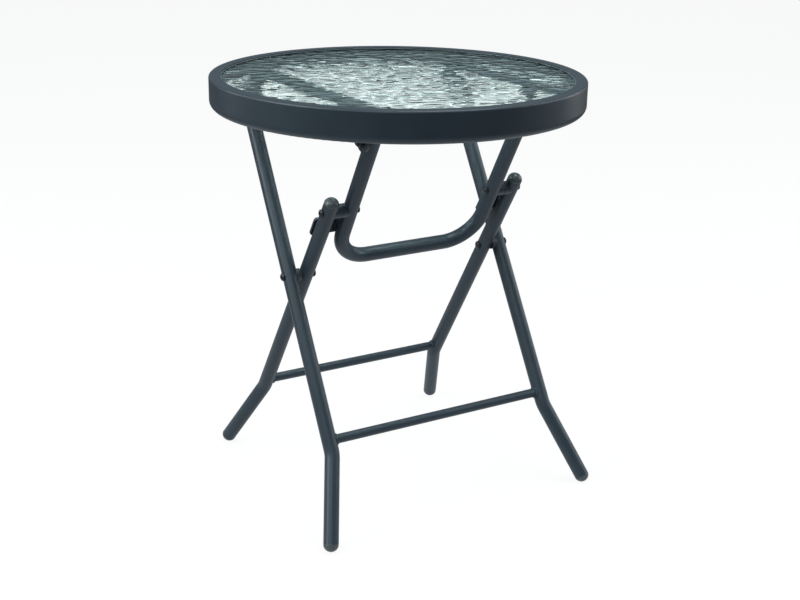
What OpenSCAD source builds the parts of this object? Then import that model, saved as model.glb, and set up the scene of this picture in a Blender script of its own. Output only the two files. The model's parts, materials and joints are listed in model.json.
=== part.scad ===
// Folding bistro side table: a round glass top in a steel rim, on two crossed tube
// frames that a U-shaped yoke locks open with a toggle.
//
// The origin is on the floor under the centre of the top. +X runs along the hinge
// axes, the outer legs stand towards -Y, the inner legs towards +Y, and +Z is up.

/* [Table top] */
// Outside diameter of the top
top_d = 400; // [390:1:420]
// Height of the top above the floor
table_h = 453.5; // [453:0.5:462]
// Height of the rim's outer wall
rim_h = 33; // [32:0.5:36]
// Width of the flat lip around the glass
lip_w = 12.5; // [10:0.5:16]
// Radius of the rolled lower edge of the rim
roll_r = 8; // [5:0.5:9]
// Radius of the rim's upper outer edge
edge_r = 2.5; // [2:0.25:4]
// Thickness of the rim's sheet steel
rim_wall = 1.2; // [1:0.1:1.5]
// Thickness of the glass
glass_t = 5; // [4:0.5:5.5]

/* [Support rails] */
// Distance of each rail's centre from the middle of the table
rail_x = 110.5; // [109.5:0.1:110.8]
// Width of the rails, which are flat bars
rail_w = 25; // [23:0.5:25]
// Thickness of the rails
rail_t = 4; // [3:0.5:6]

/* [Leg tubes] */
// Outside diameter of the leg and yoke tubes
tube_d = 16; // [14:0.5:16]
// Wall of the leg and yoke tubes
tube_wall = 1.2; // [1:0.1:1.6]
// Diameter of the lower cross bars
bar_d = 10; // [8:0.5:10]
// Distance of the outer leg tubes from the middle of the table, at the scissor bolts
outer_x = 133.9; // [133.7:0.1:137]
// Distance of the inner leg tubes from the middle of the table, at the scissor bolts
inner_x = 114.7; // [114:0.1:114.9]
// Distance of the yoke's side tubes from the middle of the table
yoke_x = 88.2; // [84:0.1:88.4]
// Outward lean of the legs, seen from the front
lean_angle = 0.6; // [0.1:0.1:0.6]
// Angle of the outward bend near each foot
splay = 15.5645; // [10:0.0001:21]
// Centreline radius of the bends in the legs
leg_bend_r = 34; // [24:1:40]
// Centreline radius of the yoke's two bends
yoke_bend_r = 39; // [22:1:39]
// Height of the outer legs' cross bar above the floor
outer_bar_z = 96.7; // [96:0.1:110]
// Height of the inner legs' cross bar above the floor
inner_bar_z = 93.8; // [93.8:0.1:110]

/* [Folding linkage] */
// Height of the outer legs' hinge pins
leg_pivot_z = 415.5; // [413:0.5:416]
// Height of the yoke's hinge pins
yoke_pivot_z = 410.5; // [409:0.5:412]
// Distance of the outer legs' hinge pins behind the middle of the table
leg_pivot_y = 91.1; // [89:0.1:93]
// Distance from the outer legs' hinge pins to the yoke's, and to the scissor bolts
pivot_span = 191.5; // [190.5:0.1:192]
// Distance from the scissor bolts, and from the yoke's hinge pins, to the toggle bolts
strut = 92.8; // [92.4:0.1:93]
// How far the toggle goes past straight before the stop plates hold it
over_centre = 2.7; // [1.5:0.1:4]
// Distance from the scissor bolt to the bend in each outer leg
outer_bend_at = 192.8; // [189:0.1:194]
// Distance from the scissor bolt to the bend in each inner leg
inner_bend_at = 196.2; // [192:0.1:197]
// Distance from the toggle bolt to the yoke's cross tube
yoke_drop = 72.3; // [72:0.1:80]
// Distance from the toggle bolt to the end of the inner leg tube
inner_tip = 11.5; // [10:0.5:11.5]

/* [Stop plates] */
// Distance from the toggle bolt to the upper edge of each stop plate
stop_at = 17; // [17:0.5:20]
// Length of each stop plate along the tubes
stop_len = 24; // [20:1:26]
// How far each stop plate reaches past the axis of the inner leg
stop_reach = 7; // [6:0.5:9]
// Thickness of each stop plate
stop_t = 2.5; // [2:0.5:3]

/* [Fasteners and caps] */
// Shank diameter of the bolts
bolt_d = 6; // [5:0.5:6]
// Diameter of the low domed bolt heads
head_d = 8.5; // [8.5:0.5:11]
// Diameter of the low domed cap nuts
cap_nut_d = 8.5; // [8.5:0.5:10]
// Width across the flats of the hinges' lock nuts
nut_af = 10; // [9:0.5:10]
// Diameter of the spacer on each toggle bolt
toggle_spacer_d = 15; // [12:0.5:15]
// Diameter of the spacer on each scissor bolt
scissor_spacer_d = 13.5; // [11:0.5:14]
// Height of the dome on the tube caps
dome_h = 6.3; // [5:0.1:7.5]
// Radius of the sphere that the dome is cut from
dome_r = 8.2; // [8.1:0.1:9]

/* [Hidden] */
$fn = 64;

tube_r = tube_d / 2;
bore_r = tube_r - tube_wall;
top_r = top_d / 2;
bolt_r = bolt_d / 2;
slate = [0.21, 0.25, 0.29];
dark_plastic = [0.16, 0.19, 0.22];
black_steel = [0.08, 0.09, 0.1];
nylon = [0.12, 0.13, 0.14];
grey_rubber = [0.36, 0.4, 0.41];

// Gaps: a bolt in its hole, a nut on its thread, two pieces that only touch, a flat
// face on a leaning tube, and a plug in its tube.
run_gap = 0.06;
thread_gap = 0.02;
touch_gap = 0.03;
seat_gap = touch_gap + tube_r * sin(lean_angle);
plug_gap = 0.05;
cut_extra = 1;

// Linkage: two equal long sides meet at the leg hinge and two equal struts at the toggle.
// Tilts are from the vertical, and slope is the fall from the leg hinge to the yoke's.
slope = asin((leg_pivot_z - yoke_pivot_z) / pivot_span);
diagonal = 2 * strut * cos(over_centre / 2);
leg_angle = 2 * asin(diagonal / (2 * pivot_span));
outer_tilt = leg_angle + slope - 90;
inner_tilt = leg_angle / 2 + slope + over_centre / 2;
yoke_tilt = leg_angle / 2 + slope - over_centre / 2;

// Pivots as [y, z].
leg_pivot = [leg_pivot_y, leg_pivot_z];
yoke_pivot = leg_pivot - pivot_span * [cos(slope), sin(slope)];
scissor = leg_pivot + pivot_span * [sin(outer_tilt), -cos(outer_tilt)];
toggle = yoke_pivot + strut * [sin(yoke_tilt), -cos(yoke_tilt)];

// Height of each leg's bend, and the length from there to the foot dome's centre.
outer_bend_z = scissor[1] - outer_bend_at * cos(lean_angle) * cos(outer_tilt);
inner_bend_z = scissor[1] - inner_bend_at * cos(lean_angle) * cos(inner_tilt);
leg_tangent = leg_bend_r * tan(splay / 2);
foot_lean = splay + lean_angle;
outer_foot_len = (outer_bend_z - dome_r) / (cos(foot_lean) * cos(outer_tilt));
inner_foot_len = (inner_bend_z - dome_r) / (cos(foot_lean) * cos(inner_tilt));
dome_base = dome_r - dome_h;

// Tube ends beyond their top pivots, the caps in them, and the cross bars' wall.
outer_tip = 10;
yoke_tip = 10;
cap_collar = 1.2;
cap_groove = 0.5;
bar_wall = 1;
plug_len = 6;
foot_plug_len = 12;

// Fasteners.
head_h = 2.8;
head_rim = 0.9;
socket_af = 4;
socket_depth = 1.4;
cap_nut_h = 2.2;
cap_nut_bore = 1.2;
nut_h = 4;
nut_collar_h = 1.4;
washer_t = 0.5;
washer_lap = 0.5;
thread_end = 1.2;
bracket_t = 3;
bracket_r = 11;
bracket_foot = 11;
bracket_washer_r = 7;
toggle_x = leg_x(inner_x, strut);
hinge_x = leg_x(outer_x, pivot_span);
toggle_mid = (toggle_x + yoke_x) / 2;
toggle_gap = 0.2;
bolt_through = bolt_r + run_gap;

// Levels in the top.
rim_z = table_h - rim_h;
gasket_t = 0.5;
gasket_show = 1;
gasket_edge = 1.5;
gasket_r = top_r - edge_r;
glass_r = gasket_r - gasket_edge;
glass_top = table_h - rim_wall - gasket_t - 2 * touch_gap;
glass_bottom = glass_top - glass_t;
gasket_bottom = glass_bottom - gasket_t - touch_gap;
clip_t = 1.5;
clip_w = 16;
clip_reach = 12;
clip_drop = 14;
clip_count = 6;
rail_top = gasket_bottom - 0.3;
rail_bottom = rail_top - rail_t;
rail_face_out = rail_x + rail_w / 2;
rail_face_in = rail_x - rail_w / 2;
pad_w = 12;
pad_len = 24;
pad_y = [-105, 0, 105];

// ---- Shared shapes ----

// Moves children into a leg's plane: X across the table, -Z down the leg, origin at a pivot.
module at_pivot(pivot, tilt) {
    translate([0, pivot[0], pivot[1]])
        rotate([tilt, 0, 0])
            children();
}

// Repeats children on both sides of the table.
module both_sides() {
    children();
    mirror([1, 0, 0])
        children();
}

// A rod along X from x0 to x1.
module rod_x(x0, x1, r) {
    translate([x0, 0, 0])
        rotate([0, 90, 0])
            cylinder(h = x1 - x0, r = r);
}

// Distance of a leg's axis from the middle, at z above the point where it is x.
function leg_x(x, z) = x - z * tan(lean_angle);

// Leans children outwards towards the floor, about a point at x.
module leaning(x) {
    translate([x, 0, 0])
        rotate([0, -lean_angle, 0])
            children();
}

// A solid the size of a leg tube's outside, to cut a saddle that fits the tube.
module saddle_cut(x, z) {
    leaning(x)
        translate([0, 0, z - tube_d])
            cylinder(h = 2 * tube_d, r = tube_r + touch_gap);
}

// One leg's solid outline: straight from `top` above the origin to the bend, then splayed.
module leg_path(top, bend_at, end_len, r) {
    straight = bend_at - leg_tangent;
    translate([0, 0, -straight])
        cylinder(h = straight + top, r = r);
    translate([leg_bend_r, 0, -straight]) {
        rotate([90, 0, 0])
            rotate([0, 0, 180])
                rotate_extrude(angle = splay)
                    translate([leg_bend_r, 0])
                        circle(r = r);
        rotate([0, -splay, 0])
            translate([-leg_bend_r, 0, leg_tangent - end_len])
                cylinder(h = end_len - leg_tangent, r = r);
    }
}

// A hollow bent leg with bolt holes at the given heights.
module leg_tube(x, top, bend_at, end_len, holes) {
    difference() {
        leaning(x)
            leg_path(top, bend_at, end_len, tube_r);
        leaning(x)
            leg_path(top + cut_extra, bend_at, end_len + cut_extra, bore_r);
        for (z = holes)
            translate([0, 0, z])
                rod_x(x - tube_d, x + tube_d, bolt_through);
    }
}

// Moves children to a leg's foot, with +Z pointing out of the tube's lower end.
module at_foot(x, bend_at, end_len) {
    leaning(x)
        translate([0, 0, -bend_at])
            rotate([0, 180 - splay, 0])
                translate([0, 0, end_len])
                    children();
}

// A domed cap on a tube's end: the plug is inside the tube, the collar and dome show, and
// a shallow groove marks where the cap meets the tube.
module domed_cap(plug) {
    translate([0, 0, touch_gap])
        cylinder(h = cap_collar - touch_gap, r = tube_r - cap_groove);
    translate([0, 0, cap_groove])
        cylinder(h = cap_collar - cap_groove, r = tube_r);
    translate([0, 0, -plug])
        cylinder(h = plug + cap_collar / 2, r = bore_r - plug_gap);
    intersection() {
        translate([0, 0, cap_collar - dome_base])
            sphere(r = dome_r);
        translate([0, 0, cap_collar - cut_extra / 10])
            cylinder(h = dome_r, r = tube_r);
    }
}

// A cross bar between two legs, its ends cut to fit their tubes.
module crossbar(x, z) {
    end = leg_x(x, z);
    difference() {
        translate([0, 0, z])
            rod_x(-end, end, bar_d / 2);
        translate([0, 0, z])
            rod_x(-end - cut_extra, end + cut_extra, bar_d / 2 - bar_wall);
        both_sides()
            saddle_cut(x, z);
    }
}

// Half the section of a low dome: a straight edge, then an arc up to height h.
module dome_section(r, h) {
    rise = h - head_rim;
    sphere_r = (pow(r, 2) + pow(rise, 2)) / (2 * rise);
    square([r, head_rim]);
    intersection() {
        translate([0, h - sphere_r])
            circle(r = sphere_r);
        translate([0, head_rim / 2])
            square([r, h]);
    }
}

// A bolt along +X: its head's underside is at x = 0 and its shank points to -X.
module bolt(shank) {
    rotate([0, 90, 0])
        difference() {
            rotate_extrude() {
                translate([0, -shank])
                    square([bolt_r, shank + head_rim / 2]);
                dome_section(head_d / 2, head_h);
            }
            translate([0, 0, head_h - socket_depth])
                cylinder(h = socket_depth + cut_extra, d = socket_af / cos(30), $fn = 6);
        }
}

// A lock nut with its seat at x = 0, reaching towards -X.
module lock_nut() {
    difference() {
        union() {
            translate([-nut_h, 0, 0])
                rotate([0, 90, 0])
                    cylinder(h = nut_h, d = nut_af / cos(30), $fn = 6);
            rod_x(-nut_h - nut_collar_h, -nut_h, nut_af * 0.45);
        }
        rod_x(-nut_h - nut_collar_h - cut_extra, cut_extra, bolt_r + thread_gap);
    }
}

// A low domed cap nut with its seat at x = 0, reaching towards -X.
module cap_nut() {
    difference() {
        rotate([0, -90, 0])
            rotate_extrude()
                dome_section(cap_nut_d / 2, cap_nut_h);
        rod_x(-cap_nut_bore, cut_extra, bolt_r + thread_gap);
    }
}

// A flat washer from x0 to x1.
module washer(x0, x1, r) {
    difference() {
        rod_x(x0, x1, r);
        rod_x(x0 - cut_extra, x1 + cut_extra, bolt_through);
    }
}

// An L-shaped bracket: its foot is welded under a rail and its plate holds a hinge pin.
module bracket(plate_x, foot_x, pivot) {
    seat = rail_bottom - touch_gap;
    translate([plate_x, pivot[0], pivot[1]])
        rotate([90, 0, 90])
            linear_extrude(height = bracket_t)
                difference() {
                    union() {
                        circle(r = bracket_r);
                        translate([-bracket_r, 0])
                            square([2 * bracket_r, seat - pivot[1]]);
                    }
                    circle(r = bolt_through);
                }
    translate([foot_x, pivot[0] - bracket_r, seat - bracket_t])
        cube([bracket_foot, 2 * bracket_r, bracket_t]);
}

// ---- Outer legs ----

module outer_frame() {
    at_pivot(scissor, outer_tilt)
        children();
}

module outer_leg_right() {
    color(slate)
        outer_frame()
            leg_tube(outer_x, pivot_span + outer_tip, outer_bend_at,
                outer_foot_len + dome_base - cap_collar, [0, pivot_span]);
}

module outer_leg_left() {
    mirror([1, 0, 0])
        outer_leg_right();
}

module outer_crossbar() {
    color(slate)
        outer_frame()
            crossbar(outer_x, (outer_bar_z - scissor[1]) / cos(outer_tilt));
}

module outer_foot_caps() {
    color(dark_plastic)
        outer_frame()
            both_sides()
                at_foot(outer_x, outer_bend_at, outer_foot_len + dome_base - cap_collar)
                    domed_cap(foot_plug_len);
}

module outer_leg_end_caps() {
    color(dark_plastic)
        outer_frame()
            both_sides()
                leaning(outer_x)
                    translate([0, 0, pivot_span + outer_tip])
                        domed_cap(plug_len);
}

// Each scissor bolt goes in from outside, through the outer leg, spacer and inner leg.
scissor_seat = inner_x - tube_r - seat_gap;

module scissor_bolts() {
    reach = outer_x + tube_r + seat_gap - scissor_seat + washer_t + cap_nut_bore;
    color(black_steel)
        outer_frame()
            both_sides()
                translate([outer_x + tube_r + seat_gap, 0, 0])
                    bolt(reach);
}

module scissor_spacers() {
    color(nylon)
        outer_frame()
            both_sides()
                difference() {
                    washer(inner_x + tube_r + seat_gap, outer_x, scissor_spacer_d / 2);
                    saddle_cut(outer_x, 0);
                }
}

module scissor_washers() {
    color(black_steel)
        outer_frame()
            both_sides()
                washer(scissor_seat - washer_t, scissor_seat, cap_nut_d / 2 + washer_lap);
}

module scissor_nuts() {
    color(black_steel)
        outer_frame()
            both_sides()
                translate([scissor_seat - washer_t - touch_gap, 0, 0])
                    cap_nut();
}

// ---- Inner legs ----

module inner_frame() {
    at_pivot(scissor, inner_tilt)
        children();
}

module inner_leg_right() {
    color(slate)
        inner_frame()
            leg_tube(inner_x, strut + inner_tip, inner_bend_at,
                inner_foot_len + dome_base - cap_collar, [0, strut]);
}

module inner_leg_left() {
    mirror([1, 0, 0])
        inner_leg_right();
}

module inner_crossbar() {
    color(slate)
        inner_frame()
            crossbar(inner_x, (inner_bar_z - scissor[1]) / cos(inner_tilt));
}

module inner_foot_caps() {
    color(dark_plastic)
        inner_frame()
            both_sides()
                at_foot(inner_x, inner_bend_at, inner_foot_len + dome_base - cap_collar)
                    domed_cap(foot_plug_len);
}

module inner_leg_end_caps() {
    color(dark_plastic)
        inner_frame()
            both_sides()
                leaning(inner_x)
                    translate([0, 0, strut + inner_tip])
                        domed_cap(plug_len);
}

// The toggle bolt and its sleeve end at the middle of the gap between leg and yoke.
module toggle_bolts() {
    color(black_steel)
        at_pivot(toggle, inner_tilt)
            both_sides()
                translate([toggle_x + tube_r + seat_gap, 0, 0])
                    bolt(toggle_x + tube_r + seat_gap - toggle_mid - toggle_gap);
}

module toggle_bolt_sleeves() {
    color(slate)
        at_pivot(toggle, inner_tilt)
            both_sides()
                difference() {
                    washer(toggle_mid + toggle_gap, toggle_x, toggle_spacer_d / 2);
                    saddle_cut(toggle_x, 0);
                }
}

// ---- Yoke ----

// Half of the yoke's solid outline, from the middle of the cross tube to one upper end.
module yoke_half(top, r) {
    straight = yoke_drop - yoke_bend_r;
    bend_x = yoke_x - yoke_bend_r;
    translate([yoke_x, 0, -straight])
        cylinder(h = straight + top, r = r);
    translate([bend_x, 0, -straight])
        rotate([90, 0, 0])
            rotate([0, 0, 270])
                rotate_extrude(angle = 90)
                    translate([yoke_bend_r, 0])
                        circle(r = r);
    translate([0, 0, -yoke_drop])
        rod_x(-cut_extra, bend_x, r);
}

module yoke_tube() {
    color(slate)
        at_pivot(toggle, yoke_tilt)
            difference() {
                both_sides()
                    yoke_half(strut + yoke_tip, tube_r);
                both_sides()
                    yoke_half(strut + yoke_tip + cut_extra, bore_r);
                for (z = [0, strut])
                    both_sides()
                        translate([0, 0, z])
                            rod_x(yoke_x - tube_d, yoke_x + tube_d, bolt_through);
            }
}

module yoke_end_caps() {
    color(dark_plastic)
        at_pivot(toggle, yoke_tilt)
            both_sides()
                translate([yoke_x, 0, strut + yoke_tip])
                    domed_cap(plug_len);
}

// A stop plate lies along the inner leg's far side and is welded to the yoke.
module stop_plate_right() {
    x0 = yoke_x - 1;
    x1 = toggle_x + stop_reach;
    corner = 3;
    near = tube_r + run_gap;
    rib_w = 6;
    rib_x = x0 + 0.5;
    color(slate)
        difference() {
            at_pivot(toggle, inner_tilt) {
                translate([x0, near + stop_t, -stop_at - stop_len])
                    rotate([90, 0, 0])
                        linear_extrude(height = stop_t)
                            rounded_rectangle(x1 - x0, stop_len, corner);
                translate([rib_x, tube_r - 2, -stop_at - stop_len + 2 * corner])
                    cube([rib_w, near - tube_r + 2.5, stop_len - 3 * corner]);
            }
            at_pivot(toggle, yoke_tilt)
                translate([yoke_x, 0, -stop_at - 2 * stop_len])
                    cylinder(h = 3 * stop_len, r = tube_r + touch_gap);
        }
}

module stop_plate_left() {
    mirror([1, 0, 0])
        stop_plate_right();
}

module rounded_rectangle(w, h, r) {
    translate([r, 0])
        square([w - 2 * r, h]);
    translate([0, r])
        square([w, h - 2 * r]);
    for (x = [r, w - r], y = [r, h - r])
        translate([x, y])
            circle(r = r);
}

module toggle_nut_sleeves() {
    color(slate)
        at_pivot(toggle, yoke_tilt)
            both_sides()
                difference() {
                    rod_x(yoke_x, toggle_mid - toggle_gap, toggle_spacer_d / 2);
                    translate([yoke_x, 0, -tube_d])
                        cylinder(h = 2 * tube_d, r = tube_r + touch_gap);
                    rod_x(yoke_x - cut_extra, inner_x, bolt_through);
                }
}

// The yoke's half of the toggle bolt: a stud from the middle of the gap, with its nut.
module toggle_nuts() {
    seat = yoke_x - tube_r - touch_gap;
    color(black_steel)
        at_pivot(toggle, yoke_tilt)
            both_sides() {
                translate([seat, 0, 0])
                    cap_nut();
                rod_x(seat - cap_nut_bore + touch_gap, toggle_mid - toggle_gap, bolt_r);
            }
}

// ---- Top ----

// Takes the corner at [x, y] off a profile and leaves a round of radius r.
module corner_cut(x, y, r, side) {
    difference() {
        translate([x - r, side > 0 ? y - r : y - cut_extra])
            square([r + cut_extra, r + cut_extra]);
        translate([x - r, y - side * r])
            circle(r = r);
    }
}

// The rim's section: wall, flat lip with a rounded edge, and rolled lower edge.
module rim_section() {
    lip_start = top_r - lip_w;
    lip_edge_r = rim_wall / 2;
    flange_start = top_r - roll_r - 3;
    void_r = top_r - rim_wall;
    difference() {
        translate([lip_start + lip_edge_r, 0])
            square([lip_w - lip_edge_r, rim_h]);
        corner_cut(top_r, rim_h, edge_r, 1);
        corner_cut(top_r, 0, roll_r, -1);
        translate([lip_start - cut_extra, -cut_extra])
            square([flange_start - lip_start + cut_extra, rim_h - rim_wall]);
        difference() {
            translate([lip_start - cut_extra, rim_wall])
                square([void_r - lip_start + cut_extra, rim_h - 2 * rim_wall]);
            corner_cut(void_r, rim_h - rim_wall, edge_r - rim_wall, 1);
            corner_cut(void_r, rim_wall, roll_r - rim_wall, -1);
        }
    }
    translate([lip_start + lip_edge_r, rim_h - lip_edge_r])
        circle(r = lip_edge_r);
}

module top_rim() {
    color(slate)
        translate([0, 0, rim_z])
            rotate_extrude($fn = 180)
                rim_section();
}

module glass_panel() {
    bevel = 0.6;
    color([0.78, 0.9, 0.88, 0.5])
        translate([0, 0, glass_bottom])
            rotate_extrude($fn = 180)
                polygon([
                    [0, 0], [glass_r - bevel, 0], [glass_r, bevel],
                    [glass_r, glass_t - bevel], [glass_r - bevel, glass_t], [0, glass_t]
                ]);
}

module glass_gasket() {
    inner_r = top_r - lip_w - gasket_show;
    color(grey_rubber)
        translate([0, 0, gasket_bottom])
            rotate_extrude($fn = 180)
                difference() {
                    translate([inner_r, 0])
                        square([gasket_r - inner_r, glass_t + 2 * gasket_t + 2 * touch_gap]);
                    translate([inner_r - cut_extra, gasket_t])
                        square([
                            glass_r + touch_gap - inner_r + cut_extra,
                            glass_t + 2 * touch_gap
                        ]);
                }
}

// L-shaped clips on the rim's inner wall, under the glass.
module glass_clips() {
    wall_r = top_r - rim_wall - touch_gap;
    color(slate)
        for (i = [0 : clip_count - 1])
            rotate([0, 0, (i + 0.5) * 360 / clip_count])
                intersection() {
                    translate([wall_r - clip_reach, -clip_w / 2, gasket_bottom - clip_drop])
                        difference() {
                            cube([clip_reach + cut_extra, clip_w, clip_drop - touch_gap]);
                            translate([-cut_extra, -cut_extra, -cut_extra])
                                cube([
                                    clip_reach + cut_extra - clip_t, clip_w + 2 * cut_extra,
                                    clip_drop - touch_gap - clip_t + cut_extra
                                ]);
                        }
                    cylinder(h = table_h, r = wall_r, $fn = 180);
                }
}

module glass_pads() {
    color(nylon)
        both_sides()
            for (y = pad_y)
                translate([rail_x - pad_w / 2, y - pad_len / 2, rail_top + touch_gap])
                    cube([pad_w, pad_len, glass_bottom - rail_top - 2 * touch_gap]);
}

module support_rail_right() {
    color(slate)
        intersection() {
            translate([rail_face_in, -top_r, rail_bottom])
                cube([rail_w, top_d, rail_t]);
            cylinder(h = table_h, r = top_r - rim_wall - touch_gap, $fn = 180);
        }
}

module support_rail_left() {
    mirror([1, 0, 0])
        support_rail_right();
}

module leg_bracket_right() {
    color(slate)
        bracket(rail_face_out - bracket_t, rail_face_out - bracket_foot, leg_pivot);
}

module leg_bracket_left() {
    mirror([1, 0, 0])
        leg_bracket_right();
}

module yoke_bracket_right() {
    color(slate)
        bracket(rail_face_in, rail_face_in, yoke_pivot);
}

module yoke_bracket_left() {
    mirror([1, 0, 0])
        yoke_bracket_right();
}

// Each leg hinge bolt goes in from outside, through the outer leg and the bracket.
module leg_pivot_bolts() {
    nut_seat = rail_face_out - bracket_t - touch_gap;
    reach = hinge_x + tube_r + seat_gap - nut_seat + nut_h + nut_collar_h + thread_end;
    color(black_steel)
        at_pivot(leg_pivot, 0)
            both_sides()
                translate([hinge_x + tube_r + seat_gap, 0, 0])
                    bolt(reach);
}

module leg_pivot_washers() {
    color(nylon)
        at_pivot(leg_pivot, 0)
            both_sides()
                washer(rail_face_out + touch_gap, hinge_x - tube_r - seat_gap, bracket_washer_r);
}

module leg_pivot_nuts() {
    color(black_steel)
        at_pivot(leg_pivot, 0)
            both_sides()
                translate([rail_face_out - bracket_t - touch_gap, 0, 0])
                    lock_nut();
}

// Each yoke hinge bolt goes in from the middle of the table, through the yoke and bracket.
module yoke_pivot_bolts() {
    nut_seat = rail_face_in + bracket_t + touch_gap;
    reach = nut_seat - yoke_x + tube_r + touch_gap + nut_h + nut_collar_h + thread_end;
    color(black_steel)
        at_pivot(yoke_pivot, 0)
            both_sides()
                translate([yoke_x - tube_r - touch_gap, 0, 0])
                    mirror([1, 0, 0])
                        bolt(reach);
}

module yoke_pivot_washers() {
    color(nylon)
        at_pivot(yoke_pivot, 0)
            both_sides()
                washer(yoke_x + tube_r + touch_gap, rail_face_in - touch_gap, bracket_washer_r);
}

module yoke_pivot_nuts() {
    color(black_steel)
        at_pivot(yoke_pivot, 0)
            both_sides()
                translate([rail_face_in + bracket_t + touch_gap, 0, 0])
                    mirror([1, 0, 0])
                        lock_nut();
}

outer_leg_left();
outer_leg_right();
outer_crossbar();
outer_foot_caps();
outer_leg_end_caps();
scissor_bolts();
scissor_spacers();
scissor_washers();
scissor_nuts();
inner_leg_left();
inner_leg_right();
inner_crossbar();
inner_foot_caps();
inner_leg_end_caps();
toggle_bolts();
toggle_bolt_sleeves();
yoke_tube();
yoke_end_caps();
stop_plate_left();
stop_plate_right();
toggle_nut_sleeves();
toggle_nuts();
top_rim();
glass_panel();
glass_gasket();
glass_clips();
glass_pads();
support_rail_left();
support_rail_right();
leg_bracket_left();
leg_bracket_right();
yoke_bracket_left();
yoke_bracket_right();
leg_pivot_bolts();
leg_pivot_washers();
leg_pivot_nuts();
yoke_pivot_bolts();
yoke_pivot_washers();
yoke_pivot_nuts();
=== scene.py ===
"""Looks of the folding bistro side table: camera, studio, materials, rippled glass and welds."""
import json
import math

import bpy
from mathutils import Matrix, Vector, noise


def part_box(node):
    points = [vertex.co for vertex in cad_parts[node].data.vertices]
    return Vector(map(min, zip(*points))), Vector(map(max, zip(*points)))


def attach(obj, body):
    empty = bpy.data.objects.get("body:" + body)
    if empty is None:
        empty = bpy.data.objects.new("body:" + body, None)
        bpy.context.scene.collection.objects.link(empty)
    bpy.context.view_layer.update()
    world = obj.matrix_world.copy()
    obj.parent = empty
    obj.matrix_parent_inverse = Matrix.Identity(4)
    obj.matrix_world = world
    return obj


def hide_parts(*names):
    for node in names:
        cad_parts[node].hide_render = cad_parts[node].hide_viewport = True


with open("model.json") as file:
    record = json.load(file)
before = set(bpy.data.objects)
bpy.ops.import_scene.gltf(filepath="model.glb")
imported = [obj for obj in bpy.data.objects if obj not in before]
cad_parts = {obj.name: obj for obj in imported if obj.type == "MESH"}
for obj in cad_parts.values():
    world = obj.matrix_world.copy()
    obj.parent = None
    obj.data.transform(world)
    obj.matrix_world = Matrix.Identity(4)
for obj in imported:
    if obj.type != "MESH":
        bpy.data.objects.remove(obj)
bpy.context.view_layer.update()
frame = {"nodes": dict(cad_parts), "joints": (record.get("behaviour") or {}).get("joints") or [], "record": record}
NODES = frame["nodes"]
MM = 0.001
TUBE_R = 8 * MM
RIPPLE_CELL = 9 * MM
RIPPLE_STRETCH = 1.7
RIPPLE_AXIS = Vector((0.85, -0.52)).normalized()
RIPPLE_DEPTH = 1.15 * MM
PANE_STEPS = 340
PANE_BEVEL = 0.6 * MM
FLAT_MARGIN = 3 * MM
FADE_WIDTH = 4 * MM
EDGE_ROUND = 0.35 * MM
WELD_GAP = 0.002 * MM
BEAD_STEP = 0.3 * MM
BEAD_PITCH = 1.3 * MM
BEAD_SIDES = 8
RING_POINTS = 96
BAR_BEAD_R = 1.5 * MM
PLATE_BEAD_R = 1.2 * MM
FOOT_BEAD_R = 1.1 * MM
FLOOR_HALF = 12.0


# ---- Places worked out from the frame ----

def centre(node):
    """Middle of a CAD node's box."""
    low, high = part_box(node)
    return (low + high) / 2


def joint_pos(name):
    """A joint's pivot, in metres."""
    for joint in frame["joints"]:
        if joint["name"] == name:
            return Vector(joint["pos_m"])
    raise KeyError(name)


SCISSOR = joint_pos("scissor_fold")
LEG_HINGE = joint_pos("top_fold")
TOGGLE = Vector((0, *centre("toggle_bolts").yz))


def span(node, direction):
    """Least and greatest reach of a CAD node along a direction, in metres."""
    reach = [v.co.dot(direction) for v in NODES[node].data.vertices]
    return min(reach), max(reach)


# ---- Materials ----

COOL = (0.82, 0.94, 1.0, 1.0)


def node_material(name):
    """An empty node material with a Principled shader; returns the material, tree and shader."""
    mat = bpy.data.materials.new(name)
    mat.use_nodes = True
    tree = mat.node_tree
    return mat, tree, tree.nodes["Principled BSDF"]


def add(tree, kind, **values):
    """Adds a shader node and sets its properties and the inputs named in values."""
    made = tree.nodes.new(kind)
    for key, value in values.items():
        if key in made.inputs:
            made.inputs[key].default_value = value
        else:
            setattr(made, key, value)
    return made


def object_coords(tree):
    """Coordinates in metres, fixed to the piece, so the texture keeps its scale when it moves."""
    return add(tree, "ShaderNodeTexCoord").outputs["Object"]


def noise_tex(tree, coords, per_metre, detail=3.0, rough=0.5):
    """A noise texture with per_metre cells to the metre."""
    tex = add(tree, "ShaderNodeTexNoise", Scale=per_metre, Detail=detail, Roughness=rough)
    tree.links.new(coords, tex.inputs["Vector"])
    return tex.outputs["Fac"]


def remap(tree, value, low, high, out_low, out_high):
    """Maps low..high to out_low..out_high, held at both ends."""
    node = add(tree, "ShaderNodeMapRange")
    node.inputs["From Min"].default_value = low
    node.inputs["From Max"].default_value = high
    node.inputs["To Min"].default_value = out_low
    node.inputs["To Max"].default_value = out_high
    tree.links.new(value, node.inputs["Value"])
    return node.outputs["Result"]


def mix_colour(tree, factor, first, second, blend="MIX"):
    """Mixes two colours; factor, first and second may be sockets or values."""
    node = add(tree, "ShaderNodeMix", data_type="RGBA", blend_type=blend)
    sockets = (node.inputs[0], node.inputs[6], node.inputs[7])
    for socket, value in zip(sockets, (factor, first, second)):
        if isinstance(value, bpy.types.NodeSocket):
            tree.links.new(value, socket)
        else:
            socket.default_value = value
    return node.outputs[2]


def mix_shader(tree, factor, first, second):
    """Mixes two shaders; factor may be a socket or a value."""
    node = add(tree, "ShaderNodeMixShader")
    if isinstance(factor, bpy.types.NodeSocket):
        tree.links.new(factor, node.inputs[0])
    else:
        node.inputs[0].default_value = factor
    tree.links.new(first, node.inputs[1])
    tree.links.new(second, node.inputs[2])
    return node.outputs[0]


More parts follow.
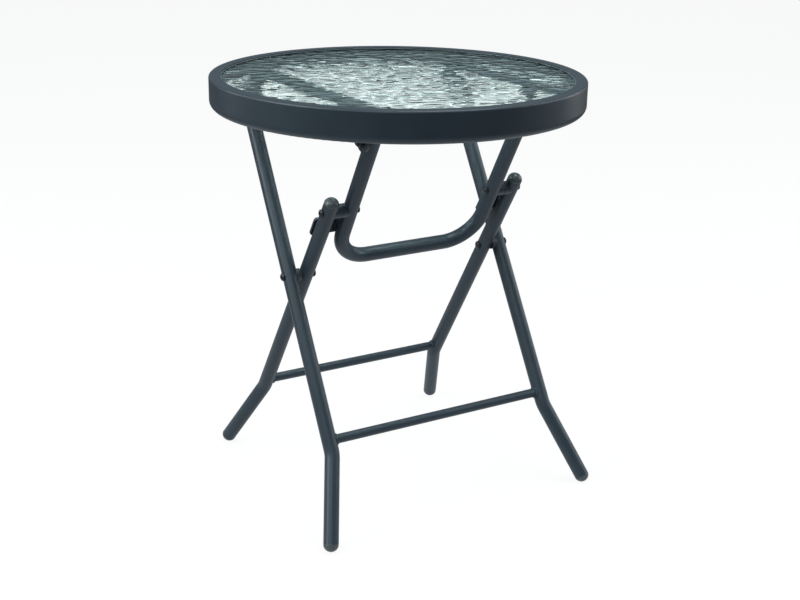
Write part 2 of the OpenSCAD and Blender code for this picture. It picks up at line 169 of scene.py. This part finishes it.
def shade(colour, factor):
    """A colour made lighter or darker, with full alpha."""
    return tuple(c * factor for c in colour) + (1.0,)


def edge_wear_and_highlight_mask(tree, radius):
    """1 on sharp edges and 0 on open faces, from how far a rounded normal turns; it marks edge wear and painted
    edge highlights.
    """
    bevel = add(tree, "ShaderNodeBevel", samples=4, Radius=radius)
    geometry = add(tree, "ShaderNodeNewGeometry")
    dot = add(tree, "ShaderNodeVectorMath", operation="DOT_PRODUCT")
    tree.links.new(bevel.outputs["Normal"], dot.inputs[0])
    tree.links.new(geometry.outputs["Normal"], dot.inputs[1])
    return remap(tree, dot.outputs["Value"], 0.995, 0.86, 0.0, 1.0)


def bump(tree, height, distance, strength):
    """A normal tilted by a height texture."""
    node = add(tree, "ShaderNodeBump", Distance=distance, Strength=strength)
    tree.links.new(height, node.inputs["Height"])
    return node.outputs["Normal"]


def powder_coat(name, base, rough, peel=0.35):
    """Satin powder coat: cloudy colour, fine speckle, orange peel, and paler edges that are partly wear and partly
    a painted highlight.
    """
    mat, tree, bsdf = node_material(name)
    coords = object_coords(tree)
    cloud = noise_tex(tree, coords, 14, detail=4, rough=0.6)
    speck = noise_tex(tree, coords, 1400, detail=2)
    peel_tex = noise_tex(tree, coords, 620, detail=2, rough=0.45)
    wear_and_highlight = edge_wear_and_highlight_mask(tree, 0.8 * MM)
    clouds = remap(tree, cloud, 0.3, 0.7, 0, 1)
    body = mix_colour(tree, clouds, shade(base, 0.9), shade(base, 1.1))
    body = mix_colour(tree, remap(tree, speck, 0.62, 0.72, 0, 0.35), body, shade(base, 1.7))
    # paler edges: partly worn paint, partly a painted highlight along the edges
    body = mix_colour(tree, remap(tree, wear_and_highlight, 0, 1, 0, 0.55), body, shade(base, 2.6))
    tree.links.new(body, bsdf.inputs["Base Color"])
    sheen = remap(tree, cloud, 0.3, 0.7, rough - 0.04, rough + 0.04)
    tree.links.new(sheen, bsdf.inputs["Roughness"])
    tree.links.new(bump(tree, peel_tex, 0.12 * MM, peel), bsdf.inputs["Normal"])
    bsdf.inputs["Specular Tint"].default_value = COOL
    return mat


def moulded(name, base, rough, grain_per_metre, strength):
    """Moulded plastic or rubber: an even colour with a fine grain."""
    mat, tree, bsdf = node_material(name)
    coords = object_coords(tree)
    cloud = noise_tex(tree, coords, 40, detail=3)
    grain = noise_tex(tree, coords, grain_per_metre, detail=2)
    body = mix_colour(tree, cloud, shade(base, 0.85), shade(base, 1.15))
    tree.links.new(body, bsdf.inputs["Base Color"])
    sheen = remap(tree, grain, 0.3, 0.7, rough - 0.05, rough + 0.05)
    tree.links.new(sheen, bsdf.inputs["Roughness"])
    tree.links.new(bump(tree, grain, 0.08 * MM, strength), bsdf.inputs["Normal"])
    return mat


def black_oxide(name, base):
    """Black fasteners: dark, slightly metallic, with paler edges that are partly rubbed and partly a painted
    highlight, and fine tool marks.
    """
    mat, tree, bsdf = node_material(name)
    coords = object_coords(tree)
    marks = noise_tex(tree, coords, 900, detail=4, rough=0.7)
    cloud = noise_tex(tree, coords, 220, detail=3)
    body = mix_colour(tree, cloud, shade(base, 0.8), shade(base, 1.3))
    wear_and_highlight = edge_wear_and_highlight_mask(tree, 0.5 * MM)
    # paler edges: partly rubbed metal, partly a painted highlight along the edges
    body = mix_colour(tree, remap(tree, wear_and_highlight, 0, 1, 0, 0.6), body, shade(base, 5))
    tree.links.new(body, bsdf.inputs["Base Color"])
    bsdf.inputs["Metallic"].default_value = 0.35
    tree.links.new(remap(tree, marks, 0.3, 0.7, 0.3, 0.48), bsdf.inputs["Roughness"])
    tree.links.new(bump(tree, marks, 0.05 * MM, 0.3), bsdf.inputs["Normal"])
    return mat


def clear_glass(name, tint, painted_shade_tint):
    """Tinted glass with painted shade: darker where its surface turns edge-on to the camera, standing in for dark
    reflected lines; lets light pass in shadows.
    """
    mat = bpy.data.materials.new(name)
    mat.use_nodes = True
    tree = mat.node_tree
    tree.nodes.clear()
    out = add(tree, "ShaderNodeOutputMaterial")
    painted_shade_facing = add(tree, "ShaderNodeLayerWeight", Blend=0.5).outputs["Facing"]
    smear = noise_tex(tree, object_coords(tree), 30, detail=3)
    # painted shade: the glass colour goes dark where the surface turns edge-on to the view, standing in for dark
    # reflected lines
    colour = mix_colour(tree, remap(tree, painted_shade_facing, 0.845, 0.895, 0, 1), tint, painted_shade_tint)
    glass = add(tree, "ShaderNodeBsdfGlass", IOR=1.5)
    tree.links.new(colour, glass.inputs["Color"])
    tree.links.new(remap(tree, smear, 0.45, 0.7, 0.0, 0.02), glass.inputs["Roughness"])
    clear = add(tree, "ShaderNodeBsdfTransparent", Color=tint)
    shadow = add(tree, "ShaderNodeLightPath").outputs["Is Shadow Ray"]
    mixed = mix_shader(tree, shadow, glass.outputs[0], clear.outputs[0])
    tree.links.new(mixed, out.inputs["Surface"])
    return mat


SLATE = (0.018, 0.028, 0.038)
MATERIALS = {
    "powder_coat": powder_coat("powder_coat", SLATE, 0.4),
    "sleeve_steel": powder_coat("sleeve_steel", (0.016, 0.025, 0.034), 0.38),
    "cap_plastic": moulded("cap_plastic", (0.05, 0.065, 0.07), 0.28, 700, 0.04),
    "nylon": moulded("nylon", (0.03, 0.036, 0.042), 0.5, 900, 0.2),
    "gasket_rubber": moulded("gasket_rubber", (0.11, 0.14, 0.15), 0.4, 900, 0.2),
    "pad_rubber": moulded("pad_rubber", (0.03, 0.03, 0.032), 0.65, 700, 0.4),
    "black_hardware": black_oxide("black_hardware", (0.012, 0.013, 0.015)),
    # the glass's second colour is the painted shade for edge-on slopes
    "glass": clear_glass("glass", (0.95, 1, 0.99, 1), (0.04, 0.07, 0.075, 1)),
}


BENT_FLAT = ("stop_plate", "leg_bracket", "yoke_bracket", "support_rail")
SMALL_EDGES = ("glass_clips", "glass_pads", "leg_pivot_nuts", "yoke_pivot_nuts")


def soften_edges():
    """Real rounds on the edges of cut plates, clips, pads and nuts."""
    nodes = [kind + hand for kind in BENT_FLAT for hand in ("_left", "_right")]
    for node in nodes + list(SMALL_EDGES):
        weld = NODES[node].modifiers.new("join", "WELD")
        weld.merge_threshold = WELD_GAP
        rounds = NODES[node].modifiers.new("rounds", "BEVEL")
        rounds.width = EDGE_ROUND
        rounds.segments = 2
        rounds.limit_method = "ANGLE"
        rounds.angle_limit = math.radians(40)


def dress_cad_nodes():
    """Gives every CAD node the material of its slot in the record."""
    for part in frame["record"]["subparts"]:
        for slot in NODES[part["node"]].material_slots:
            slot.material = MATERIALS[part["material_slot"]]


# ---- Rippled glass ----

def ripple_height(x, y):
    """Height of the pressed pattern, about 0 to 1: long soft pebbles, a little uneven in size."""
    along = Vector((x, y)).dot(RIPPLE_AXIS)
    across = Vector((x, y)).dot(RIPPLE_AXIS.orthogonal())
    cell = Vector((along / RIPPLE_STRETCH, across, 0)) / RIPPLE_CELL
    return 0.5 + 0.6 * noise.noise(cell)


def disc_point(u, v):
    """Maps the square -1..1 to the unit disc, keeping areas even."""
    if u == 0 and v == 0:
        return 0.0, 0.0
    if abs(u) > abs(v):
        r = u
        turn = math.pi / 4 * v / u
    else:
        r = v
        turn = math.pi / 2 - math.pi / 4 * u / v
    return r * math.cos(turn), r * math.sin(turn)


def rippled_face(flat_r, top_z):
    """Vertices and quads of the pressed surface; the ripples fade out before the edge."""
    row = PANE_STEPS + 1
    verts = []
    for i in range(row):
        for j in range(row):
            x, y = disc_point(2 * i / PANE_STEPS - 1, 2 * j / PANE_STEPS - 1)
            x, y = x * flat_r, y * flat_r
            inside = flat_r - FLAT_MARGIN - math.hypot(x, y)
            fade = min(1, max(0, inside / FADE_WIDTH))
            verts.append((x, y, top_z - RIPPLE_DEPTH * (1 - ripple_height(x, y)) * fade))
    faces = []
    for i in range(PANE_STEPS):
        for j in range(PANE_STEPS):
            a = i * row + j
            faces.append((a, a + row, a + row + 1, a + 1))
    return verts, faces


def face_border():
    """Vertex numbers round the rim of the pressed surface, in order."""
    row = PANE_STEPS + 1
    border = [i * row for i in range(PANE_STEPS)]
    border += [PANE_STEPS * row + j for j in range(PANE_STEPS)]
    border += [i * row + PANE_STEPS for i in range(PANE_STEPS, 0, -1)]
    border += list(range(PANE_STEPS, 0, -1))
    return border


def rippled_panel(name, node):
    """A round pane in a CAD node's box: pressed ripples on top, smooth below, ground edge."""
    low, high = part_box(node)
    radius = (high.x - low.x) / 2
    flat_r = radius - PANE_BEVEL
    verts, faces = rippled_face(flat_r, high.z)
    above = face_border()
    count = len(above)
    outline = [Vector(verts[k][:2]).normalized() for k in above]
    rings = ((radius, high.z - PANE_BEVEL), (radius, low.z + PANE_BEVEL), (flat_r, low.z))
    for ring_r, level in rings:
        below = list(range(len(verts), len(verts) + count))
        verts += [(d.x * ring_r, d.y * ring_r, level) for d in outline]
        for k in range(count):
            n = (k + 1) % count
            faces.append((above[k], below[k], below[n], above[n]))
        above = below
    faces.append(tuple(reversed(above)))
    mesh = bpy.data.meshes.new(name)
    mesh.from_pydata(verts, [], faces)
    mesh.shade_smooth()
    mesh.polygons[len(faces) - 1].use_smooth = False
    return link(name, mesh, "glass")


# ---- Weld beads ----

def spaced(points, closed):
    """Points every BEAD_STEP or so along a path of corners."""
    corners = points + points[:1] if closed else points
    out = []
    for a, b in zip(corners, corners[1:]):
        count = max(1, round((b - a).length / BEAD_STEP))
        out += [a.lerp(b, k / count) for k in range(count)]
    return out if closed else out + [corners[-1]]


def bead_rings(path, side, radius, closed):
    """Rings of vertices around a path, swelling and narrowing like the ripples of a weld."""
    last = len(path) - 1
    rings = []
    run = 0.0
    for k, point in enumerate(path):
        before = path[k - 1] if k or closed else point
        after = path[(k + 1) % len(path)] if k < last or closed else point
        ahead = (after - before).normalized()
        out = (side - ahead * side.dot(ahead)).normalized()
        up = ahead.cross(out)
        run += (point - before).length
        r = radius * (0.8 + 0.2 * abs(math.sin(math.pi * run / BEAD_PITCH)))
        turns = [math.tau * n / BEAD_SIDES for n in range(BEAD_SIDES)]
        rings.append([point + (out * math.cos(t) + up * math.sin(t)) * r for t in turns])
    return rings


def bead_faces(start, count, closed):
    """Faces that join count rings, numbered from start, into one closed solid."""
    faces = []
    for k in range(count if closed else count - 1):
        a = start + k * BEAD_SIDES
        b = start + (k + 1) % count * BEAD_SIDES
        for n in range(BEAD_SIDES):
            m = (n + 1) % BEAD_SIDES
            faces.append((a + n, a + m, b + m, b + n))
    if not closed:
        last = start + (count - 1) * BEAD_SIDES
        faces.append(tuple(start + n for n in reversed(range(BEAD_SIDES))))
        faces.append(tuple(last + n for n in range(BEAD_SIDES)))
    return faces


def beads(name, body, paths, side, radius, closed=False):
    """One piece with a weld bead along each path of corners, riding on a body."""
    verts = []
    faces = []
    for path in paths:
        rings = bead_rings(spaced(path, closed), side, radius, closed)
        faces += bead_faces(len(verts), len(rings), closed)
        verts += [v for ring in rings for v in ring]
    mesh = bpy.data.meshes.new(name)
    mesh.from_pydata(verts, [], faces)
    mesh.shade_smooth()
    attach(link(name, mesh, "powder_coat"), body)


def crossbar_welds(name, body, bar, up_leg):
    """A bead round each end of a cross bar, where it meets the leg tubes."""
    low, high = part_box(bar)
    bar_r = (high.z - low.z) / 2
    leg_x = high.x + math.sqrt(TUBE_R ** 2 - bar_r ** 2)
    off_leg = 0.3 * MM
    around = up_leg.cross(Vector((1, 0, 0)))
    paths = []
    for mirror in (1, -1):
        path = []
        for k in range(RING_POINTS):
            t = math.tau * k / RING_POINTS
            x = leg_x - math.sqrt(TUBE_R ** 2 - (bar_r * math.cos(t)) ** 2)
            path.append(centre(bar) + around * bar_r * math.cos(t) + up_leg * bar_r * math.sin(t))
            path[-1].x = mirror * (x - off_leg)
        paths.append(path)
    beads(name, body, paths, Vector((1, 0, 0)), BAR_BEAD_R, closed=True)


def stop_plate_welds():
    """Two beads along each stop plate, where its edge and its rib meet the yoke tube."""
    up = (TOGGLE - SCISSOR).normalized()
    up.x = 0
    out = Vector((1, 0, 0)).cross(up)
    out = out if out.y > 0 else -out
    low, high = span("stop_plate_right", up)
    face = span("stop_plate_right", out)[1]
    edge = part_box("stop_plate_right")[0].x
    edge_depth = 2.2 * MM
    rib_x = edge + 6.8 * MM
    rib_depth = 3.4 * MM
    end_gap = 4 * MM
    paths = []
    for mirror in (1, -1):
        for x, depth in ((edge, edge_depth), (rib_x, rib_depth)):
            levels = (low + end_gap, high - end_gap)
            ends = [up * level + out * (face - depth) for level in levels]
            paths.append([Vector((mirror * x, end.y, end.z)) for end in ends])
    beads("stop_plate_welds", "yoke", paths, Vector((1, 0, 0)), PLATE_BEAD_R)


def bracket_welds():
    """A bead round the three free edges of each bracket's foot, under its rail."""
    paths = []
    below_rail = 0.4 * MM
    for node, foot_side in (("leg_bracket", -1), ("yoke_bracket", 1)):
        for hand in ("left", "right"):
            low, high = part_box(node + "_" + hand)
            inward = foot_side if hand == "right" else -foot_side
            near, far = (low.x, high.x) if inward > 0 else (high.x, low.x)
            z = high.z - below_rail
            corners = ((near, low.y), (far, low.y), (far, high.y), (near, high.y))
            paths.append([Vector((x, y, z)) for x, y in corners])
    beads("bracket_welds", "top", paths, Vector((0, 0, 1)), FOOT_BEAD_R)


def build_welds():
    """All the weld beads of the table."""
    outer = (LEG_HINGE - SCISSOR).normalized()
    inner = (TOGGLE - SCISSOR).normalized()
    crossbar_welds("outer_crossbar_welds", "outer_legs", "outer_crossbar", outer)
    crossbar_welds("inner_crossbar_welds", "inner_legs", "inner_crossbar", inner)
    stop_plate_welds()
    bracket_welds()


def link(name, mesh, slot):
    """Puts a mesh in the scene with the material of the named slot."""
    mesh.materials.append(MATERIALS[slot])
    obj = bpy.data.objects.new(name, mesh)
    bpy.context.scene.collection.objects.link(obj)
    return obj


# ---- Studio ----

MIDDLE = Vector((0, 0, 0.25))
SCREEN_AZIMUTH = 149
# Name, azimuth and elevation in degrees, metres from MIDDLE, size in metres, watts, colour
SOFTBOXES = (
    ("key", -98, 32, 2.2, (1.2, 1.6), 34, (0.97, 0.99, 1)),
    ("front", -45, 40, 2.6, (1.2, 1.2), 12, (1, 1, 1)),
    ("fill", 62, 22, 2.6, (0.8, 1.6), 14, (0.92, 0.97, 1)),
    ("left_edge", -140, 15, 2.4, (0.5, 1.4), 8, (1, 1, 1)),
    ("right_edge", 92, 12, 2.4, (0.5, 1.4), 8, (1, 1, 1)),
    ("overhead", 60, 75, 1.9, (1.0, 1.0), 18, (1, 1, 1)),
)
# Sine of the elevation, then red, green and blue
FRONT_STOPS = ((0.0, 0.09, 0.11, 0.125), (0.9, 0.5, 0.54, 0.58))
SCREEN_STOPS = (
    (0.0, 0.1, 0.13, 0.14),
    (0.16, 0.19, 0.24, 0.26),
    (0.5, 0.36, 0.42, 0.44),
    (0.75, 0.4, 0.44, 0.47),
)


def soft_light(name, azimuth, elevation, away, size, power, tint):
    """A rectangular softbox that faces the middle of the table."""
    data = bpy.data.lights.new(name, "AREA")
    data.shape = "RECTANGLE"
    data.size = size[0]
    data.size_y = size[1]
    data.energy = power
    data.color = tint
    lamp = bpy.data.objects.new(name, data)
    lamp.location = MIDDLE + compass(azimuth, elevation) * away
    lamp.rotation_euler = (MIDDLE - lamp.location).to_track_quat("-Z", "Y").to_euler()
    bpy.context.scene.collection.objects.link(lamp)


def near_glow(tree):
    """The light that the floor throws back at the table; it fades outwards."""
    reach = add(tree, "ShaderNodeVectorMath", operation="LENGTH")
    position = add(tree, "ShaderNodeNewGeometry").outputs["Position"]
    tree.links.new(position, reach.inputs[0])
    glow = add(tree, "ShaderNodeEmission", Color=(0.9, 0.96, 1, 1))
    strength = remap(tree, reach.outputs["Value"], 0.35, 1.3, 0.8, 0.12)
    tree.links.new(strength, glow.inputs["Strength"])
    return glow.outputs[0]


def white_paper(tree, through_glass):
    """Almost shadowless white, brighter where it is seen through glass."""
    glow = add(tree, "ShaderNodeEmission", Color=(1, 1, 1, 1))
    strength = remap(tree, through_glass, 0, 1, 1.0, 1.9)
    tree.links.new(strength, glow.inputs["Strength"])
    paper = add(tree, "ShaderNodeBsdfDiffuse", Color=(0.85, 0.86, 0.87, 1))
    return mix_shader(tree, 0.9, paper.outputs[0], glow.outputs[0])


def floor_material():
    """Pale paper that glows for the camera and gives a softer light to everything else."""
    mat = bpy.data.materials.new("floor")
    mat.use_nodes = True
    tree = mat.node_tree
    tree.nodes.clear()
    path = add(tree, "ShaderNodeLightPath")
    through_glass = path.outputs["Is Transmission Ray"]
    seen = add(tree, "ShaderNodeMath", operation="MAXIMUM")
    tree.links.new(path.outputs["Is Camera Ray"], seen.inputs[0])
    tree.links.new(through_glass, seen.inputs[1])
    sheet = mix_shader(tree, seen.outputs[0], near_glow(tree), white_paper(tree, through_glass))
    back = add(tree, "ShaderNodeNewGeometry").outputs["Backfacing"]
    clear = add(tree, "ShaderNodeBsdfTransparent").outputs[0]
    out = add(tree, "ShaderNodeOutputMaterial")
    tree.links.new(mix_shader(tree, back, sheet, clear), out.inputs["Surface"])
    return mat


def paper_floor():
    """A wide pale sheet under the feet; from below it is clear, to show the underside."""
    corners = [(-1, -1), (1, -1), (1, 1), (-1, 1)]
    mesh = bpy.data.meshes.new("floor")
    mesh.from_pydata([(x * FLOOR_HALF, y * FLOOR_HALF, 0) for x, y in corners], [], [(0, 1, 2, 3)])
    mesh.materials.append(floor_material())
    floor = bpy.data.objects.new("floor", mesh)
    bpy.context.scene.collection.objects.link(floor)


def sky_ramp(tree, height, stops):
    """A colour that changes with the sine of the elevation, from a list of stops."""
    ramp = add(tree, "ShaderNodeValToRGB")
    points = ramp.color_ramp.elements
    while len(points) < len(stops):
        points.new(1.0)
    for point, (place, *colour) in zip(points, stops):
        point.position = place
        point.color = (*colour, 1)
    tree.links.new(height, ramp.inputs["Fac"])
    return ramp.outputs["Color"]


def studio_world():
    """White for the camera; lit from a big bright screen behind the table, dim in front."""
    world = bpy.data.worlds.new("studio")
    world.use_nodes = True
    tree = world.node_tree
    tree.nodes.clear()
    out = add(tree, "ShaderNodeOutputWorld")
    ray = add(tree, "ShaderNodeTexCoord").outputs["Generated"]
    split = add(tree, "ShaderNodeSeparateXYZ")
    tree.links.new(ray, split.inputs[0])
    behind = add(tree, "ShaderNodeVectorMath", operation="DOT_PRODUCT")
    tree.links.new(ray, behind.inputs[0])
    behind.inputs[1].default_value = compass(SCREEN_AZIMUTH, 0)
    screen = sky_ramp(tree, split.outputs["Z"], SCREEN_STOPS)
    front = sky_ramp(tree, split.outputs["Z"], FRONT_STOPS)
    colour = mix_colour(tree, remap(tree, behind.outputs["Value"], 0.0, 0.6, 0, 1), front, screen)
    room = add(tree, "ShaderNodeBackground", Strength=1.0)
    tree.links.new(colour, room.inputs["Color"])
    white = add(tree, "ShaderNodeBackground", Color=(1, 1, 1, 1), Strength=1.0)
    camera = add(tree, "ShaderNodeLightPath").outputs["Is Camera Ray"]
    mixed = mix_shader(tree, camera, room.outputs[0], white.outputs[0])
    tree.links.new(mixed, out.inputs["Surface"])
    bpy.context.scene.world = world


def compass(azimuth, elevation):
    """The direction from the table towards a viewer at that azimuth and elevation, in degrees."""
    a, e = math.radians(azimuth), math.radians(elevation)
    return Vector((math.sin(a) * math.cos(e), -math.cos(a) * math.cos(e), math.sin(e)))


def studio_camera(azimuth, elevation, roll, distance, target, lens):
    """A camera that looks at target; angles in degrees, distance in metres, lens in mm."""
    back = compass(azimuth, elevation)
    level = Vector((math.cos(math.radians(azimuth)), math.sin(math.radians(azimuth)), 0))
    upright = back.cross(level)
    turn = math.radians(roll)
    right = level * math.cos(turn) + upright * math.sin(turn)
    up = upright * math.cos(turn) - level * math.sin(turn)
    facing = Matrix((right, up, back)).transposed().to_4x4()
    data = bpy.data.cameras.new("camera")
    data.lens = lens
    camera = bpy.data.objects.new("camera", data)
    camera.matrix_world = Matrix.Translation(target + back * distance) @ facing
    bpy.context.scene.collection.objects.link(camera)
    bpy.context.scene.camera = camera


def build_studio():
    """Camera, world, floor and lights."""
    bpy.context.scene.view_settings.view_transform = "Standard"
    studio_camera(
        azimuth=-31.36,
        elevation=19.22,
        roll=0.99,
        distance=1.5079,
        target=Vector((0.00496, -0.00296, 0.1996)),
        lens=60.41,
    )
    studio_world()
    paper_floor()
    for softbox in SOFTBOXES:
        soft_light(*softbox)


def build():
    """Looks for the whole table."""
    dress_cad_nodes()
    soften_edges()
    pane = rippled_panel("rippled_glass", "glass_panel")
    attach(pane, "top")
    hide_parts("glass_panel")
    build_welds()
    build_studio()


build()
